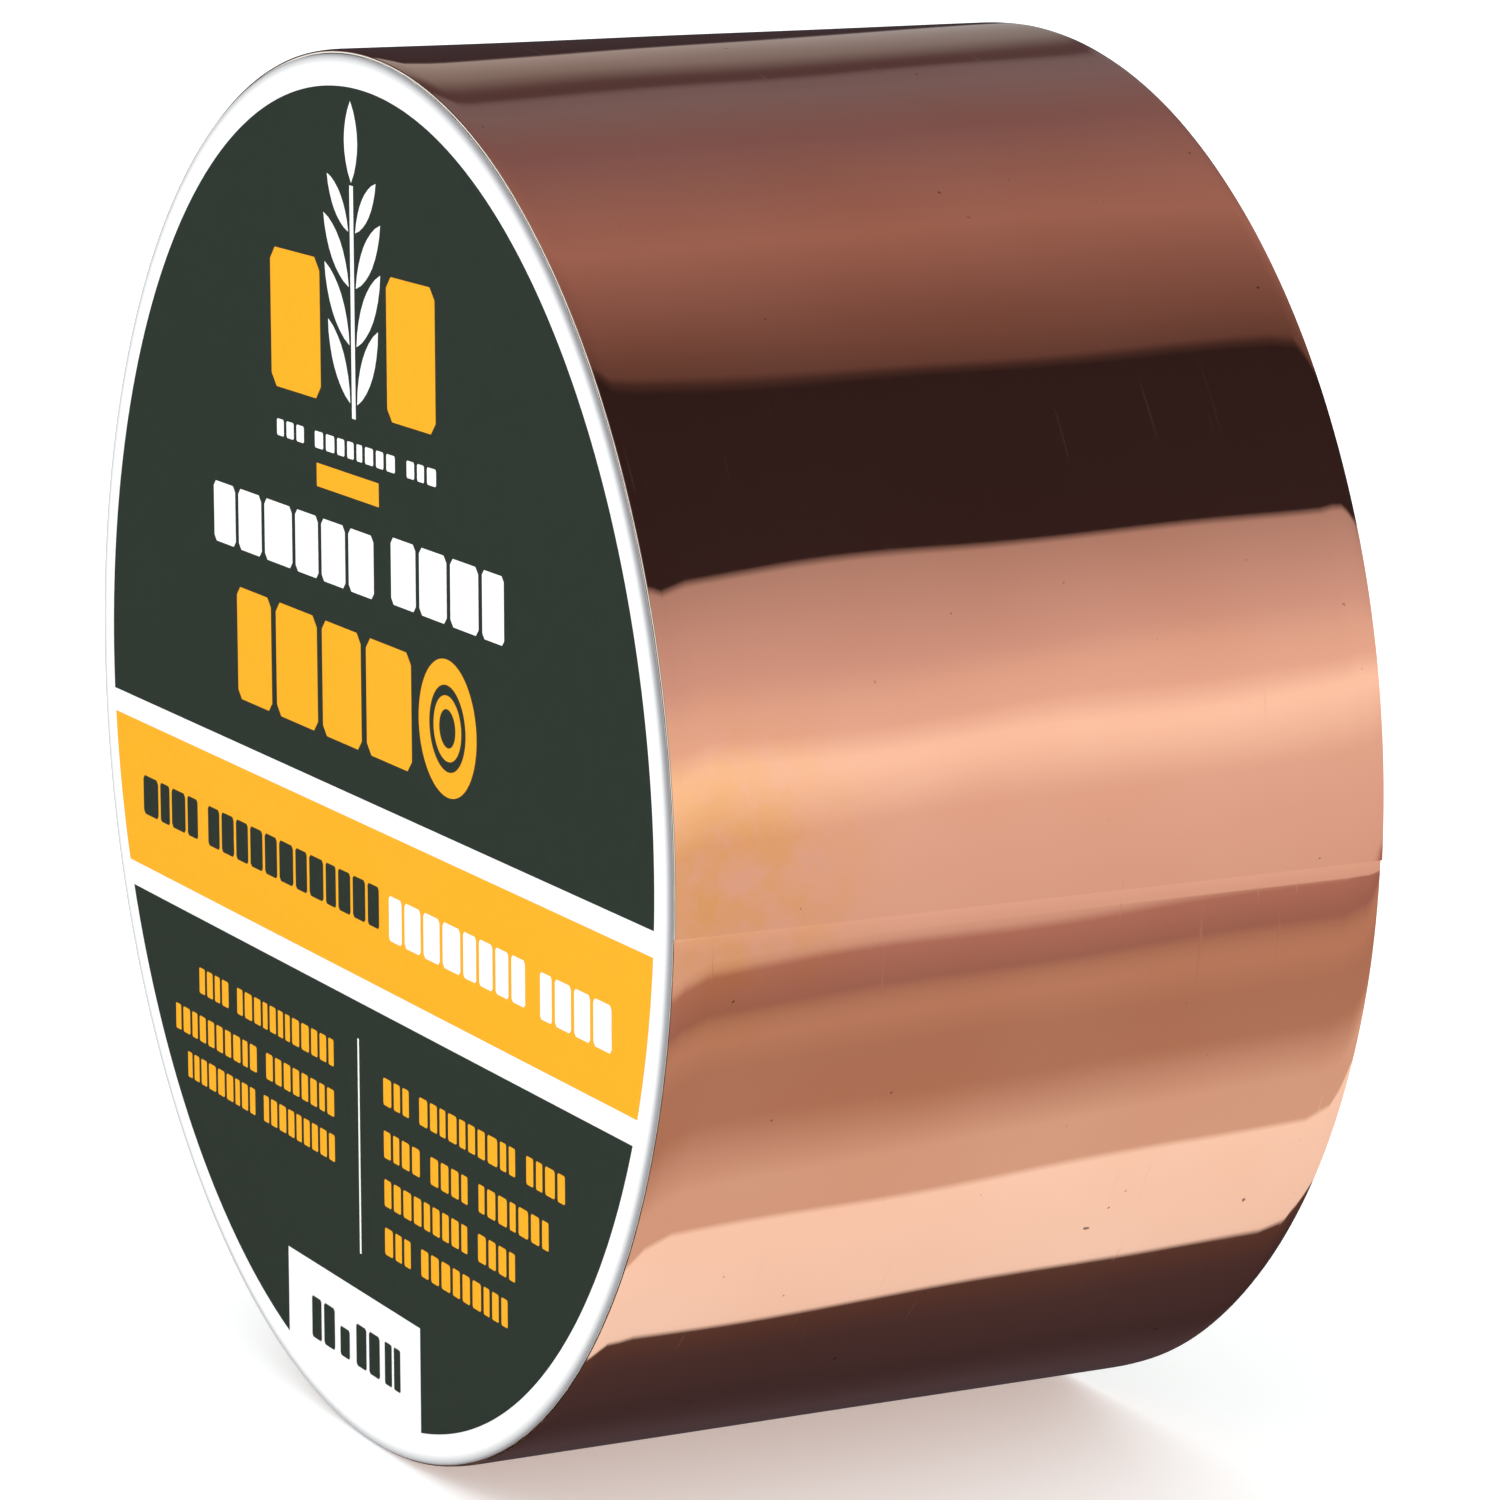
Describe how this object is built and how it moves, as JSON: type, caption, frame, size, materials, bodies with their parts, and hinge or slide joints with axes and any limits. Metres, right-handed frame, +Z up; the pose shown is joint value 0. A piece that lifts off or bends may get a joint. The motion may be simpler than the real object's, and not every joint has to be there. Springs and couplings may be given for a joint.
{
  "type": "copper foil tape roll",
  "caption": "Wide roll of adhesive copper foil tape with a paper release liner, wound on a cardboard core with a round side label; the free end lifts and its liner peels.",
  "frame": {"origin": "centre of the roll, midway across the tape's width", "axes": "+Y along the roll's axis from the labelled side to the open side, +Z up with the roll standing on its curved side, +X to the side where the tape's free end lies"},
  "size_m": [0.0957, 0.0511, 0.0956],
  "materials": {
    "copper_foil": "bright smooth copper",
    "adhesive": "clear, slightly amber acrylic adhesive",
    "release_liner": "smooth silicone-coated paper",
    "kraft_ply": "brown kraft paper",
    "core_board": "grey recycled board",
    "label_card": "coated card, dark green, white and amber print"
  },
  "bodies": {
    "roll": {"core_inner_ply": "kraft_ply", "core_board": "core_board", "core_outer_ply": "kraft_ply", "start_strip": "adhesive", "wound_tape": "copper_foil", "outer_turn_foil": "copper_foil", "outer_turn_adhesive": "adhesive", "outer_turn_liner": "release_liner", "label_adhesive": "adhesive", "label_card": "label_card"},
    "tape_end": {"tape_end_foil": "copper_foil", "tape_end_adhesive": "adhesive"},
    "liner_end": {"tape_end_liner": "release_liner"}
  },
  "joints": [
    {"name": "tape_end_lift", "type": "hinge", "parent": "roll", "child": "tape_end", "pos_m": [0.04378, 0, 0.01949], "axis": [0, -1, 0], "range_deg": [0, 60]},
    {"name": "liner_peel", "type": "hinge", "parent": "roll", "child": "liner_end", "pos_m": [0.04369, 0, 0.01945], "axis": [0, -1, 0], "range_deg": [0, 30]}
  ],
  "couplings": [
    {"joint": "liner_peel", "follows": "tape_end_lift", "ratio": 0.5}
  ]
}
